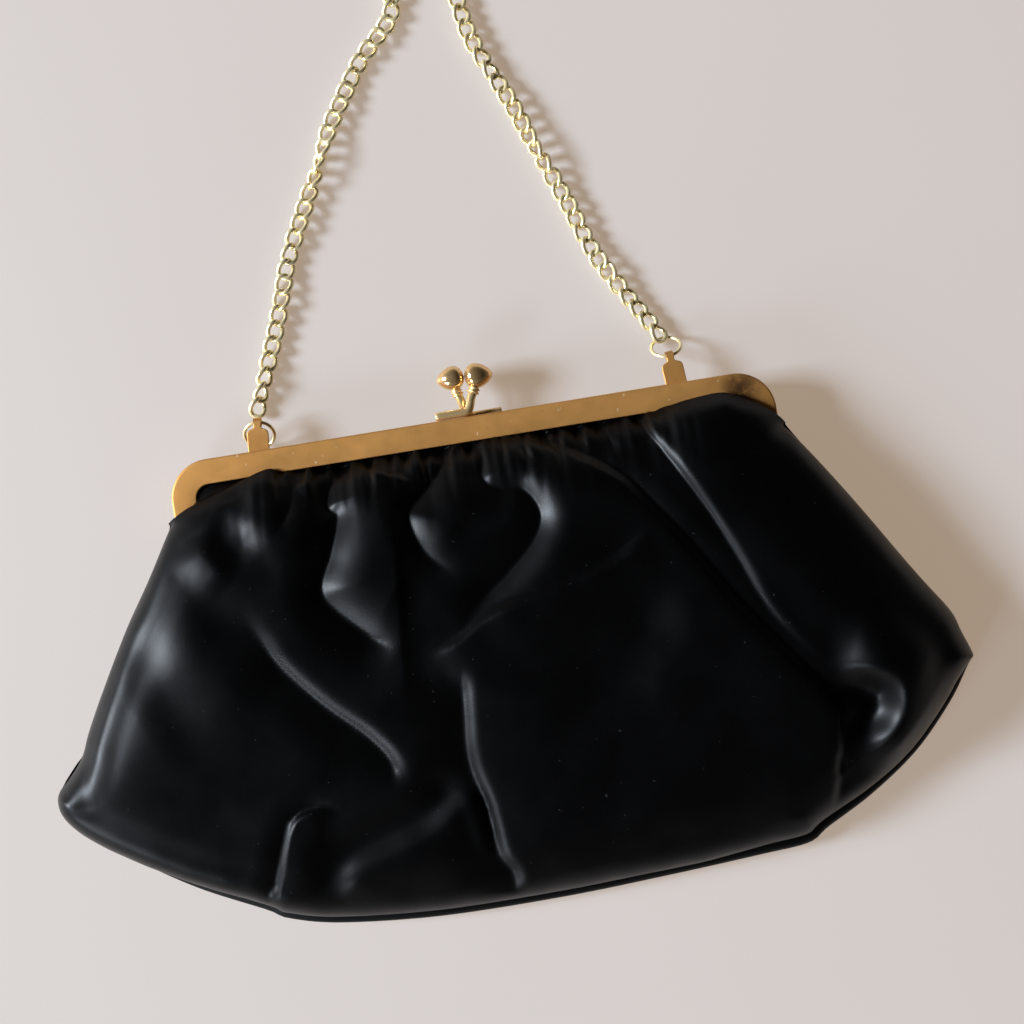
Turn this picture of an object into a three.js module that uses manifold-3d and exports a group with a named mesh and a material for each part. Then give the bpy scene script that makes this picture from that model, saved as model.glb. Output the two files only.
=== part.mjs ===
// Clutch purse: a satin bag on a two-part kiss-lock frame with a chain handle.
// Millimetres, +Z up. The purse lies closed on its back: X runs along the frame, Y from the
// bag's bottom seam to the clasp, Z out of the table towards the front of the bag.

import * as THREE from "three";
import * as BufferGeometryUtils from "three/addons/utils/BufferGeometryUtils.js";
import Module from "manifold-3d";

const wasm = await Module();
wasm.setup();

// ---- driving dimensions ----

const frameHalfLength = 101.5; // half of the frame's 203 mm (8 in)
const frameTop = 72.9;
const frameStrip = 8.3;
const frameCorner = 13;
const frameMid = 10; // height of the plane between the two halves
const frameHalfDepth = 4.6;
const sheetMetal = 0.8;
const rimMetal = 0.9;
const backInset = 1.2; // the back half nests inside the outline of the front half
const rimGap = 0.15;
const innerWallOffset = 0.6;
const innerWallDepth = 6.5;

const hingeY = 33;
const frontEarRadius = 4.2;
const backEarRadius = 3.6;
const hingeHole = 1.25;
const hingeShank = 1.1;

const bagCornerX = 155.5;
const bagBottom = -91.6;
const bagTop = 64.2;
const bagCentreY = -10;
const seamHeight = 9;
const seamGap = 0.4;
const bellyHeight = 25;
const bellyAtBottom = 13;
const backDepth = 10.5;
const satin = 1.6;
const liningGap = 0.5;
const lining = 1.0;

const visorRadius = 16.3; // the gathered top of the front panel turns about the hinge inside the belly
const visorGap = 0.6;
const visorHalfLength = 87.5;
const visorFrom = 35;
const visorTo = 112;
const bellyUpperEdge = 33;
const liningUpperEdge = 28.5;
const legSlot = { inner: 92.3, outer: 103.2, bottom: 27 };
const bagSpan = 400; // wider than the bag, for the cutting blocks

const rodRadius = 1.3;
const knobs = {
  front: { centre: [6.3, 87.1, 10], base: [-3.1, -5.8, 0.9], tip: [1, -0.12, 0], long: 4.4, wide: 4.1 },
  back: { centre: [-4.1, 87.3, 10], base: [1.6, -6.2, -0.5], tip: [-1, -0.12, 0], long: 4.7, wide: 4.0 },
};

const lugX = { left: -71.2, right: 70.8 };
const lugLean = { left: -5, right: 4.4 };
const lugPivotY = 68.2;
const lugHalfWidth = 3.6;
const lugThickness = 0.8;
const slotHalfWidth = 5.4;
const eyeY = 14.4;
const eyeOuter = 1.5;
const eyeHole = 1.0;
const neckHalfWidth = 1.3;
const ringRadius = 5;
const ringWire = 0.6;
const ringTilt = { left: 217, right: -47 }; // degrees of the ring about the eye, 0 is along the neck

const chainRadius = 2.5;
const chainHeight = 2.65;
const chainRoute = [
  [-69.6, 88.0], [-66.6, 94.6], [-63.2, 104.0], [-59.3, 114.8], [-50.8, 136.9],
  [-43.0, 153.9], [-37.2, 164.1], [-28.7, 181.1], [-17.9, 197.0], [-4.9, 210.6],
  [-3.5, 222.0], [-4.2, 233.0], [4.5, 241.5], [16.5, 240.0], [22.5, 229.5],
  [18.5, 217.0], [19.8, 205.5], [24.0, 193.0], [30.8, 176.0], [39.3, 153.9],
  [44.6, 138.9], [49.5, 125.0], [59.7, 104.6], [67.6, 91.4],
];

// ---- materials ----

const finishes = {
  frameGold: { color: 0xb0853f, roughness: 0.42, metalness: 1 },
  brightGold: { color: 0xd8b25a, roughness: 0.15, metalness: 1 },
  paleGold: { color: 0xdcc27a, roughness: 0.2, metalness: 1 },
  satin: { color: 0x0b0b0f, roughness: 0.45, metalness: 0 },
  lining: { color: 0x15151a, roughness: 0.7, metalness: 0 },
  paper: { color: 0xb79f78, roughness: 0.9, metalness: 0 },
};

const group = new THREE.Group();

function place(name, geometry, finish) {
  const mesh = new THREE.Mesh(geometry, new THREE.MeshStandardMaterial(finishes[finish]));
  mesh.name = name;
  group.add(mesh);
  return mesh;
}

// ---- solids ----

function solid(geometry) {
  const bare = geometry.clone();
  bare.deleteAttribute("normal");
  bare.deleteAttribute("uv");
  const merged = BufferGeometryUtils.mergeVertices(bare, 1e-4);
  return new wasm.Manifold(new wasm.Mesh({
    numProp: 3,
    vertProperties: new Float32Array(merged.attributes.position.array),
    triVerts: new Uint32Array(merged.index.array),
  }));
}

function surface(manifold) {
  const mesh = manifold.getMesh();
  const geometry = new THREE.BufferGeometry();
  geometry.setAttribute("position", new THREE.BufferAttribute(mesh.vertProperties, 3));
  geometry.setIndex(new THREE.BufferAttribute(mesh.triVerts, 1));
  return geometry;
}

function block(x0, x1, y0, y1, z0, z1) {
  const box = new THREE.BoxGeometry(x1 - x0, y1 - y0, z1 - z0);
  box.translate((x0 + x1) / 2, (y0 + y1) / 2, (z0 + z1) / 2);
  return solid(box);
}

function cylinderAlongX(radius, x0, x1, y, z, sides = 28) {
  const cylinder = new THREE.CylinderGeometry(radius, radius, x1 - x0, sides);
  cylinder.rotateZ(Math.PI / 2);
  cylinder.translate((x0 + x1) / 2, y, z);
  return solid(cylinder);
}

function cylinderAlongZ(radius, x, y, z0, z1, sides = 24) {
  const cylinder = new THREE.CylinderGeometry(radius, radius, z1 - z0, sides);
  cylinder.rotateX(Math.PI / 2);
  cylinder.translate(x, y, (z0 + z1) / 2);
  return solid(cylinder);
}

function extrudeUp(shape, z0, z1) {
  const geometry = new THREE.ExtrudeGeometry(shape, { depth: z1 - z0, bevelEnabled: false, curveSegments: 8 });
  geometry.translate(0, 0, z0);
  return geometry;
}

function rod(path, radius, sides, steps) {
  const section = new THREE.Shape();
  for (let i = 0; i < sides; i += 1) {
    const angle = (2 * Math.PI * (i + 0.5)) / sides;
    const x = radius * Math.cos(angle);
    const y = radius * Math.sin(angle);
    if (i === 0) section.moveTo(x, y);
    else section.lineTo(x, y);
  }
  return new THREE.ExtrudeGeometry(section, { steps, extrudePath: path, bevelEnabled: false });
}

function curve(points, tension = 0.5) {
  const vectors = points.map((p) => new THREE.Vector3(...p));
  return new THREE.CatmullRomCurve3(vectors, false, "catmullrom", tension);
}

function turned(profile, sides) {
  return new THREE.LatheGeometry(profile.map(([r, y]) => new THREE.Vector2(r, y)), sides);
}

function alongDirection(geometry, direction, at) {
  const up = new THREE.Vector3(0, 1, 0);
  const turn = new THREE.Quaternion().setFromUnitVectors(up, direction.clone().normalize());
  geometry.applyQuaternion(turn);
  geometry.translate(at.x, at.y, at.z);
  return geometry;
}

// ---- frame halves: channels bent to a wide U ----

// The U between two insets from the frame's outer edge, with legs down to the given level.
function channelBand(outset, inset, legEnd) {
  const band = new THREE.Shape();
  const outerX = frameHalfLength - outset;
  const outerY = frameTop - outset;
  const outerR = Math.max(frameCorner - outset, 0.6);
  const innerX = frameHalfLength - inset;
  const innerY = frameTop - inset;
  const innerR = Math.max(frameCorner - inset, 0.6);
  band.moveTo(-outerX, legEnd);
  band.lineTo(-innerX, legEnd);
  band.lineTo(-innerX, innerY - innerR);
  band.absarc(-innerX + innerR, innerY - innerR, innerR, Math.PI, Math.PI / 2, true);
  band.lineTo(innerX - innerR, innerY);
  band.absarc(innerX - innerR, innerY - innerR, innerR, Math.PI / 2, 0, true);
  band.lineTo(innerX, legEnd);
  band.lineTo(outerX, legEnd);
  band.lineTo(outerX, outerY - outerR);
  band.absarc(outerX - outerR, outerY - outerR, outerR, 0, Math.PI / 2, false);
  band.lineTo(-outerX + outerR, outerY);
  band.absarc(-outerX + outerR, outerY - outerR, outerR, Math.PI / 2, Math.PI, false);
  return band;
}

// side is +1 for the front half and -1 for the back half; heights grow away from the mid-plane.
function frameHalf(side, inset, earRadius) {
  const height = (near, far) => [frameMid + side * near, frameMid + side * far].sort((a, b) => a - b);
  const band = (from, to, near, far, legEnd) => {
    const [low, high] = height(near, far);
    return solid(extrudeUp(channelBand(inset + from, inset + to, legEnd), low, high));
  };
  const innerWallTop = innerWallOffset + 0.75;
  let half = band(0, frameStrip - inset, rimGap, frameHalfDepth, hingeY);
  half = half.subtract(band(rimMetal, frameStrip + 2, innerWallTop, frameHalfDepth - sheetMetal, hingeY - 1));
  half = half.subtract(band(rimMetal, frameStrip + 2, rimGap - 1, innerWallOffset, hingeY - 1));
  half = half.subtract(band(innerWallDepth, frameStrip + 2, rimGap - 1, innerWallTop + 0.1, hingeY - 1));
  const [wallLow, wallHigh] = height(rimGap - 1, frameHalfDepth - sheetMetal);
  for (const end of [-1, 1]) {
    const outer = end * (frameHalfLength - inset);
    const earInner = outer - end * rimMetal;
    const legInner = outer - end * (frameStrip + 2);
    const wallX = [legInner, earInner].sort((a, b) => a - b);
    half = half.subtract(block(...wallX, hingeY - 1, hingeY + frontEarRadius, wallLow, wallHigh));
    const earX = [outer, earInner].sort((a, b) => a - b);
    half = half.add(cylinderAlongX(earRadius, ...earX, hingeY, frameMid));
    half = half.subtract(cylinderAlongX(hingeHole, earX[0] - 1, earX[1] + 1, hingeY, frameMid, 24));
  }
  const [slotLow, slotHigh] = height(rimGap - 1, innerWallOffset);
  for (const x of Object.values(lugX)) {
    half = half.subtract(
      block(x - slotHalfWidth, x + slotHalfWidth, frameTop - 3, frameTop + 1, slotLow, slotHigh),
    );
  }
  return half;
}

const barHeight = { front: frameMid + 2.57, back: frameMid - 2.57 };
const barLine = { front: frameTop, back: frameTop - backInset };
const rivetX = { front: [-8.6, -3.4], back: [4.6, 9.4] };
const rivetShank = 0.6;

function drilledForClasp(half, which) {
  let drilled = half;
  for (const x of rivetX[which]) {
    const hole = new THREE.CylinderGeometry(rivetShank + 0.15, rivetShank + 0.15, 4, 16);
    hole.translate(x, barLine[which], barHeight[which]);
    drilled = drilled.subtract(solid(hole));
  }
  return drilled;
}

function drilledForLugs(half) {
  let drilled = half;
  for (const x of Object.values(lugX)) {
    drilled = drilled.subtract(cylinderAlongZ(1.05, x, lugPivotY, frameMid - 2, frameMid));
  }
  return drilled;
}

place("front_frame", surface(drilledForClasp(frameHalf(1, 0, frontEarRadius), "front")), "frameGold");
place(
  "back_frame",
  surface(drilledForLugs(drilledForClasp(frameHalf(-1, backInset, backEarRadius), "back"))),
  "frameGold",
);

// ---- hinge rivets ----

for (const [side, end] of [["left", -1], ["right", 1]]) {
  const outside = 0.3;
  const shankFrom = backInset + rimMetal + 0.15;
  const rivet = turned([
    [0, -shankFrom - 0.8], [1.9, -shankFrom - 0.8], [1.9, -shankFrom], [hingeShank, -shankFrom],
    [hingeShank, outside], [2.2, outside], [2.0, outside + 0.6], [1.0, outside + 0.95], [0, outside + 1.0],
  ], 20);
  const at = new THREE.Vector3(end * frameHalfLength, hingeY, frameMid);
  alongDirection(rivet, new THREE.Vector3(end, 0, 0), at);
  place(`hinge_rivet_${side}`, rivet, "brightGold");
}

// ---- kiss clasp ----

function knobPieces(which) {
  const knob = knobs[which];
  const centre = new THREE.Vector3(...knob.centre);
  const base = new THREE.Vector3(...knob.base).normalize();
  const tip = new THREE.Vector3(...knob.tip).normalize();
  const profile = [];
  const rings = 14;
  for (let i = 0; i <= rings; i += 1) {
    const t = (Math.PI * i) / rings;
    const along = -Math.cos(t);
    const pointed = Math.sin(t) * (1 - 0.22 * Math.max(along, 0) ** 2);
    profile.push([i === 0 || i === rings ? 0 : knob.wide * pointed, knob.long * along]);
  }
  const ball = alongDirection(turned(profile, 28), tip, centre);
  place(`clasp_knob_${which}`, ball, "brightGold");
  const collarFrom = centre.clone().addScaledVector(base, 6.6);
  const collar = turned([
    [0, 0], [1.75, 0], [1.95, 0.35], [1.75, 0.75], [1.45, 1.0], [1.75, 1.25], [1.75, 1.6], [1.2, 1.85], [0, 1.85],
  ], 20);
  place(`clasp_collar_${which}`, alongDirection(collar, base.clone().negate(), collarFrom), "brightGold");
  return { stemEnd: centre.clone().addScaledVector(base, 6.85), base };
}

function claspArm(which, outerX, bendX) {
  const { stemEnd, base } = knobPieces(which);
  const barY = barLine[which] + rodRadius + 0.12;
  const z = barHeight[which];
  const towards = Math.sign(bendX - outerX);
  const near = stemEnd.clone().addScaledVector(base, 2.2);
  const path = new THREE.CurvePath();
  const corner = new THREE.Vector3(bendX, barY, z);
  const bendStart = corner.clone().add(new THREE.Vector3(-towards * 1.6, 0, 0));
  path.add(new THREE.LineCurve3(new THREE.Vector3(outerX, barY, z), bendStart));
  path.add(new THREE.QuadraticBezierCurve3(bendStart, corner, near));
  path.add(new THREE.LineCurve3(near, stemEnd));
  const points = path.getSpacedPoints(40);
  place(`clasp_arm_${which}`, rod(curve(points.map((p) => p.toArray())), rodRadius, 10, 26), "brightGold");
}

claspArm("front", -10.5, 0.9);
claspArm("back", 11.2, -0.6);

for (const which of ["front", "back"]) {
  rivetX[which].forEach((x, index) => {
    const inside = rimMetal + 0.12;
    const rivet = turned([
      [0, -inside - 0.6], [1.0, -inside - 0.6], [1.0, -inside], [rivetShank, -inside],
      [rivetShank, -0.02], [0, -0.02],
    ], 16);
    rivet.translate(x, barLine[which], barHeight[which]);
    place(`clasp_rivet_${which}_${index + 1}`, rivet, "brightGold");
  });
}

// ---- chain lugs, their rivets and the jump rings ----

function lugPlate() {
  const plate = new THREE.Shape();
  const shoulder = 10.3;
  const neckFrom = 12.3;
  plate.moveTo(-lugHalfWidth, 0);
  plate.absarc(0, 0, lugHalfWidth, Math.PI, 2 * Math.PI, false);
  plate.lineTo(lugHalfWidth, shoulder);
  plate.quadraticCurveTo(lugHalfWidth, neckFrom - 0.5, neckHalfWidth + 0.5, neckFrom - 0.1);
  plate.lineTo(neckHalfWidth - 0.15, neckFrom + 0.4);
  plate.lineTo(neckHalfWidth, eyeY);
  plate.lineTo(-neckHalfWidth, eyeY);
  plate.lineTo(-neckHalfWidth + 0.15, neckFrom + 0.4);
  plate.lineTo(-neckHalfWidth - 0.5, neckFrom - 0.1);
  plate.quadraticCurveTo(-lugHalfWidth, neckFrom - 0.5, -lugHalfWidth, shoulder);
  return plate;
}

const eyeDrop = eyeOuter - lugThickness / 2; // the eye is rolled to the back of the plate

function lugBody() {
  let lug = solid(extrudeUp(lugPlate(), -lugThickness / 2, lugThickness / 2));
  lug = lug.add(cylinderAlongX(eyeOuter, -neckHalfWidth, neckHalfWidth, eyeY, -eyeDrop, 20));
  lug = lug.subtract(cylinderAlongX(eyeHole, -4, 4, eyeY, -eyeDrop, 20));
  lug = lug.subtract(cylinderAlongZ(1.05, 0, 0, -1, 1));
  return surface(lug);
}

for (const side of ["left", "right"]) {
  const lean = THREE.MathUtils.degToRad(lugLean[side]);
  const holder = new THREE.Group();
  holder.position.set(lugX[side], lugPivotY, frameMid);
  holder.rotation.z = lean;
  group.add(holder);

  const lug = place(`lug_${side}`, lugBody(), "frameGold");
  holder.add(lug);

  const ring = new THREE.TorusGeometry(ringRadius, ringWire, 8, 30);
  ring.translate(0, ringRadius, 0);
  ring.rotateX(THREE.MathUtils.degToRad(ringTilt[side]));
  ring.translate(0, eyeY, -eyeDrop);
  holder.add(place(`ring_${side}`, ring, "paleGold"));

  const wallFar = -innerWallOffset - 0.75;
  const rivet = turned([
    [0, wallFar - 0.65], [1.6, wallFar - 0.65], [1.6, wallFar - 0.12], [0.9, wallFar - 0.12],
    [0.9, lugThickness / 2], [0, lugThickness / 2],
  ], 16);
  rivet.rotateX(Math.PI / 2);
  rivet.translate(lugX[side], lugPivotY, frameMid);
  place(`lug_rivet_${side}`, rivet, "frameGold");
}

// ---- chain, laid on the table ----

const chainPath = curve(chainRoute.map(([x, y]) => [x, y, chainHeight]));
place("chain", rod(chainPath, chainRadius, 10, 38), "paleGold");

// ---- bag ----

const above = (z) => block(-bagSpan, bagSpan, -bagSpan, bagSpan, z, bagSpan);
const below = (z) => block(-bagSpan, bagSpan, -bagSpan, bagSpan, -bagSpan, z);

function bagOutline() {
  const shape = new THREE.Shape();
  shape.moveTo(0, bagBottom);
  shape.quadraticCurveTo(60, bagBottom, 92, -84.5);
  shape.quadraticCurveTo(122, -74, 146, -47);
  shape.quadraticCurveTo(bagCornerX + 4.5, -31, 151.5, -21);
  shape.lineTo(101.5, 57);
  shape.lineTo(92, 59.4);
  shape.lineTo(88, bagTop);
  shape.lineTo(-88, bagTop);
  shape.lineTo(-92, 59.4);
  shape.lineTo(-101.5, 57);
  shape.lineTo(-151.5, -21);
  shape.quadraticCurveTo(-bagCornerX - 4.5, -31, -146, -47);
  shape.quadraticCurveTo(-122, -74, -92, -84.5);
  shape.quadraticCurveTo(-60, bagBottom, 0, bagBottom);
  return shape.getPoints(8);
}

const outline = bagOutline();

// Distance from the bag's centre to its outline in the direction of the given angle.
function reach(angle) {
  const dx = Math.cos(angle);
  const dy = Math.sin(angle);
  let best = 0;
  for (let i = 0; i < outline.length; i += 1) {
    const a = outline[i];
    const b = outline[(i + 1) % outline.length];
    const ax = a.x;
    const ay = a.y - bagCentreY;
    const ex = b.x - a.x;
    const ey = b.y - a.y;
    const cross = dx * ey - dy * ex;
    if (Math.abs(cross) < 1e-9) continue;
    const along = (ax * ey - ay * ex) / cross;
    const share = (ax * dy - ay * dx) / cross;
    if (share >= 0 && share <= 1 && along > best) best = along;
  }
  return best;
}

function crown(y) {
  const down = THREE.MathUtils.smoothstep(-y, 20, -bagBottom);
  return bellyHeight + (bellyAtBottom - bellyHeight) * down;
}

// A closed pillow on the bag's outline, drawn in by inset on every side.
function pillow(inset, backLevel) {
  const geometry = new THREE.SphereGeometry(1, 52, 14);
  geometry.rotateX(Math.PI / 2);
  const position = geometry.attributes.position;
  for (let i = 0; i < position.count; i += 1) {
    const px = position.getX(i);
    const py = position.getY(i);
    const pz = position.getZ(i);
    const fromAxis = Math.hypot(px, py);
    const angle = Math.atan2(py, px);
    const out = fromAxis < 1e-6 ? 0 : (reach(angle) - inset) * fromAxis;
    const x = fromAxis < 1e-6 ? 0 : out * Math.cos(angle);
    const y = (fromAxis < 1e-6 ? 0 : out * Math.sin(angle)) + bagCentreY;
    const full = (1 - Math.min(fromAxis, 1) ** 4) ** 0.4;
    const rise = pz >= 0 ? crown(y) - inset : backDepth - inset;
    position.setXYZ(i, x, y, seamHeight + Math.sign(pz) * rise * (Math.abs(pz) < 1e-6 ? 0 : full));
  }
  const whole = solid(geometry);
  return whole.intersect(above(backLevel));
}

function shell(inset, thickness) {
  const outer = pillow(inset, inset);
  const inner = pillow(inset + thickness, inset + thickness);
  return outer.subtract(inner);
}

// Removes what stands in the way of the frame's legs, from x = legSlot.inner out to the given x.
function clearOfLegs(piece, outer, low, high) {
  let cut = piece;
  for (const end of [-1, 1]) {
    const x = [end * legSlot.inner, end * outer].sort((a, b) => a - b);
    cut = cut.subtract(block(...x, legSlot.bottom, bagSpan, low, high));
  }
  return cut;
}

function bellyPart(layer, upperEdge) {
  const visorClear = visorRadius + visorGap;
  let belly = layer.intersect(above(seamHeight + seamGap));
  belly = belly.subtract(cylinderAlongX(visorClear, -legSlot.inner, legSlot.inner, hingeY, frameMid, 48));
  belly = belly.subtract(block(-bagSpan, bagSpan, upperEdge, bagSpan, -bagSpan, bagSpan));
  return clearOfLegs(belly, bagSpan, -bagSpan, bagSpan);
}

place("front_panel_lower", surface(bellyPart(shell(0, satin), bellyUpperEdge)), "satin");
place("front_lining_lower", surface(bellyPart(shell(satin + liningGap, lining), liningUpperEdge)), "lining");

function backPart(layer) {
  const tray = layer.intersect(below(seamHeight - seamGap));
  return clearOfLegs(tray, legSlot.outer, frameMid - frameHalfDepth - 0.4, bagSpan);
}

place("back_panel", surface(backPart(shell(0, satin))), "satin");
place("back_lining", surface(backPart(shell(satin + liningGap, lining))), "lining");

// The top of the front panel: it comes out of the channel and curls about the hinge line.
function visor(outerRadius, thickness, mouthHeight) {
  const section = new THREE.Shape();
  const innerRadius = outerRadius - thickness;
  const from = THREE.MathUtils.degToRad(visorFrom);
  const to = THREE.MathUtils.degToRad(visorTo);
  section.moveTo(bagTop, mouthHeight);
  section.absarc(hingeY, frameMid, outerRadius, from, to, false);
  section.absarc(hingeY, frameMid, innerRadius, to, from, true);
  section.lineTo(bagTop, mouthHeight - thickness);
  const geometry = extrudeUp(section, -visorHalfLength, visorHalfLength);
  const basis = new THREE.Matrix4().makeBasis(
    new THREE.Vector3(0, 1, 0),
    new THREE.Vector3(0, 0, 1),
    new THREE.Vector3(1, 0, 0),
  );
  return geometry.applyMatrix4(basis);
}

place("front_panel_upper", visor(visorRadius, 1.2, frameMid + 3.7), "satin");
place("front_lining_upper", visor(visorRadius - 1.6, 0.8, frameMid + 2.2), "lining");

// The raw edge of the seam between the front and back panels, around the lower bag.
function seamEdge() {
  const shape = new THREE.Shape(outline.map((p) => new THREE.Vector2(p.x * 1.003, p.y)));
  const inner = outline.map((p) => new THREE.Vector2(p.x * 0.97, (p.y - bagCentreY) * 0.955 + bagCentreY));
  shape.holes.push(new THREE.Path(inner));
  const half = seamGap - 0.12;
  const band = solid(extrudeUp(shape, seamHeight - half, seamHeight + half));
  return band.subtract(block(-bagSpan, bagSpan, legSlot.bottom, bagSpan, -bagSpan, bagSpan));
}

place("seam_edge", surface(seamEdge()), "satin");

// ---- packing cords in the channels ----

function packingCord(inset, z, radius) {
  const depth = inset + 4.6;
  const x = frameHalfLength - depth;
  const y = frameTop - depth;
  const r = frameCorner - depth + inset;
  const points = [[-x, hingeY + 9, z]];
  const arc = (cx, from, to) => {
    for (let i = 0; i <= 6; i += 1) {
      const angle = THREE.MathUtils.degToRad(from + ((to - from) * i) / 6);
      points.push([cx + r * Math.cos(angle), y - r + r * Math.sin(angle), z]);
    }
  };
  arc(-x + r, 180, 90);
  arc(x - r, 90, 0);
  points.push([x, hingeY + 9, z]);
  return rod(curve(points, 0.2), radius, 8, 48);
}

place("packing_cord_front", packingCord(0, frameMid + 2.6, 0.75), "paper");
place("packing_cord_back", packingCord(backInset, frameMid - 2.95, 0.6), "paper");

// ---- slip pocket on the back lining ----

function slipPocket() {
  const shape = new THREE.Shape();
  shape.moveTo(-45, 20);
  shape.lineTo(-45, -34);
  shape.quadraticCurveTo(-45, -40, -39, -40);
  shape.lineTo(39, -40);
  shape.quadraticCurveTo(45, -40, 45, -34);
  shape.lineTo(45, 20);
  return extrudeUp(shape, 3.45, 4.1);
}

place("slip_pocket", slipPocket(), "lining");

export default group;
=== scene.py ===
"""Clutch purse, Blender stage. Lengths are millimetres in the part frame, unless they go to Blender."""
import math

import bpy
import numpy as np
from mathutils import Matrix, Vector


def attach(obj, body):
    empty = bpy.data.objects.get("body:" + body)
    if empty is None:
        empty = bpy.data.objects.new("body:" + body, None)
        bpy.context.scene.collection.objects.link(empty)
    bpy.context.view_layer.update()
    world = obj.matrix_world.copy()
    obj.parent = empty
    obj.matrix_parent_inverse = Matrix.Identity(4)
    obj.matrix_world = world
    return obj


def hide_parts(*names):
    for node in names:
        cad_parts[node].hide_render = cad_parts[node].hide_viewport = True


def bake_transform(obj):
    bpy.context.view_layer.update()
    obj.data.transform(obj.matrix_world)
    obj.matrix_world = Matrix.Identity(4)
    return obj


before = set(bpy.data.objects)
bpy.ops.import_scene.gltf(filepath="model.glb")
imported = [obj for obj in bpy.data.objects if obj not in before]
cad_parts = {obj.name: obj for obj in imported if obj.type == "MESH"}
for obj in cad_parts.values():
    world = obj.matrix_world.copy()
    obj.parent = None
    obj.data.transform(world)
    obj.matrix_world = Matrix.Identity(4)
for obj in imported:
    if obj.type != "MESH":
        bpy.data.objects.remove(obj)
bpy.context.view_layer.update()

MM = 0.001

# ---- dimensions shared with the CAD ----

HINGE = np.array([0.0, 33.0, 10.0])
MID = 10.0
FRAME_HALF = 101.5
FRAME_TOP = 72.9
STRIP = 8.3
CORNER = 13.0
HALF_DEPTH = 4.6
SHEET = 0.8
RIM = 0.9
BACK_INSET = 1.2
# x of each lug's rivet, and the degrees that the lug leans and that its ring is tilted
LUGS = {"left": (-71.2, -5.0, 217.0), "right": (70.8, 4.4, -47.0)}
LUG_PIVOT_Y = 68.2
LUG_EYE = 14.4
EYE_DROP = 1.1
RING_RADIUS = 5.0
RING_WIRE = 0.6
CHAIN_Z = 2.65
LINK_PITCH = 5.2
CHAIN_ROUTE = [
    (-69.6, 88.0), (-66.6, 94.6), (-63.2, 104.0), (-59.3, 114.8), (-50.8, 136.9),
    (-43.0, 153.9), (-37.2, 164.1), (-28.7, 181.1), (-17.9, 197.0), (-4.9, 210.6),
    (-3.5, 222.0), (-4.2, 233.0), (4.5, 241.5), (16.5, 240.0), (22.5, 229.5),
    (18.5, 217.0), (19.8, 205.5), (24.0, 193.0), (30.8, 176.0), (39.3, 153.9),
    (44.6, 138.9), (49.5, 125.0), (59.7, 104.6), (67.6, 91.4),
]


# ---- mesh helpers ----


def add_object(name, data):
    new = bpy.data.objects.new(name, data)
    bpy.context.scene.collection.objects.link(new)
    return new


def add_mesh(name, points, faces, material=None):
    """A new piece, smooth except on the many-sided faces that close its ends."""
    mesh = bpy.data.meshes.new(name)
    mesh.from_pydata((np.asarray(points, float) * MM).tolist(), [], faces)
    mesh.update()
    mesh.polygons.foreach_set("use_smooth", [len(f) <= 4 for f in faces])
    if material is not None:
        mesh.materials.append(material)
    return add_object(name, mesh)


def grid_faces(rows, cols, wrap_cols=False, wrap_rows=False):
    """The quads of a grid of points, which meets itself where it wraps."""
    faces = []
    for r in range(rows if wrap_rows else rows - 1):
        below = (r + 1) % rows
        for c in range(cols if wrap_cols else cols - 1):
            beside = (c + 1) % cols
            faces.append((r * cols + c, r * cols + beside, below * cols + beside, below * cols + c))
    return faces


def caps(rows, cols, flip=False):
    """The faces at both ends of a grid that wraps across."""
    first = tuple(reversed(range(cols)))
    last = tuple((rows - 1) * cols + k for k in range(cols))
    return [first[::-1], last[::-1]] if flip else [first, last]


def unit(v):
    v = np.asarray(v, float)
    return v / np.linalg.norm(v)


def unit_rows(rows):
    return rows / np.linalg.norm(rows, axis=1)[:, None]


def bezier(t, a, b, c):
    return (1 - t) ** 2 * a + 2 * t * (1 - t) * b + t * t * c


def spline(points, per=8, closed=False):
    """A dense smooth line through the points."""
    p = np.asarray(points, float)
    n = len(p)
    out = []
    spans = n if closed else n - 1
    for i in range(spans):
        if closed:
            a, b, c, d = p[(i - 1) % n], p[i], p[(i + 1) % n], p[(i + 2) % n]
        else:
            b, c = p[i], p[i + 1]
            a = p[i - 1] if i > 0 else 2 * b - c
            d = p[i + 2] if i + 2 < n else 2 * c - b
        for t in np.linspace(0, 1, per, endpoint=False):
            bend = (2 * a - 5 * b + 4 * c - d) * t * t
            out.append(0.5 * (2 * b + (c - a) * t + bend + (3 * b - a - 3 * c + d) * t**3))
    if not closed:
        out.append(p[-1])
    return np.array(out)


def resample(line, count):
    steps = np.linalg.norm(np.diff(line, axis=0), axis=1)
    along = np.concatenate([[0], np.cumsum(steps)])
    at = np.linspace(0, along[-1], count)
    return np.stack([np.interp(at, along, line[:, k]) for k in range(line.shape[1])], 1)


def length_of(line):
    return float(np.linalg.norm(np.diff(line, axis=0), axis=1).sum())


def frames_along(line, up=(0.0, 0.0, 1.0), closed=False):
    """Tangent, side and top directions of a line, with side level where it can be."""
    if closed:
        tangent = np.roll(line, -1, 0) - np.roll(line, 1, 0)
    else:
        tangent = np.gradient(line, axis=0)
    tangent = unit_rows(tangent)
    side = np.cross(np.tile(np.asarray(up, float), (len(line), 1)), tangent)
    norm = np.linalg.norm(side, axis=1)
    side[norm < 1e-6] = (1.0, 0.0, 0.0)
    side /= np.maximum(np.linalg.norm(side, axis=1), 1e-9)[:, None]
    top = np.cross(tangent, side)
    return tangent, side, top


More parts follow.
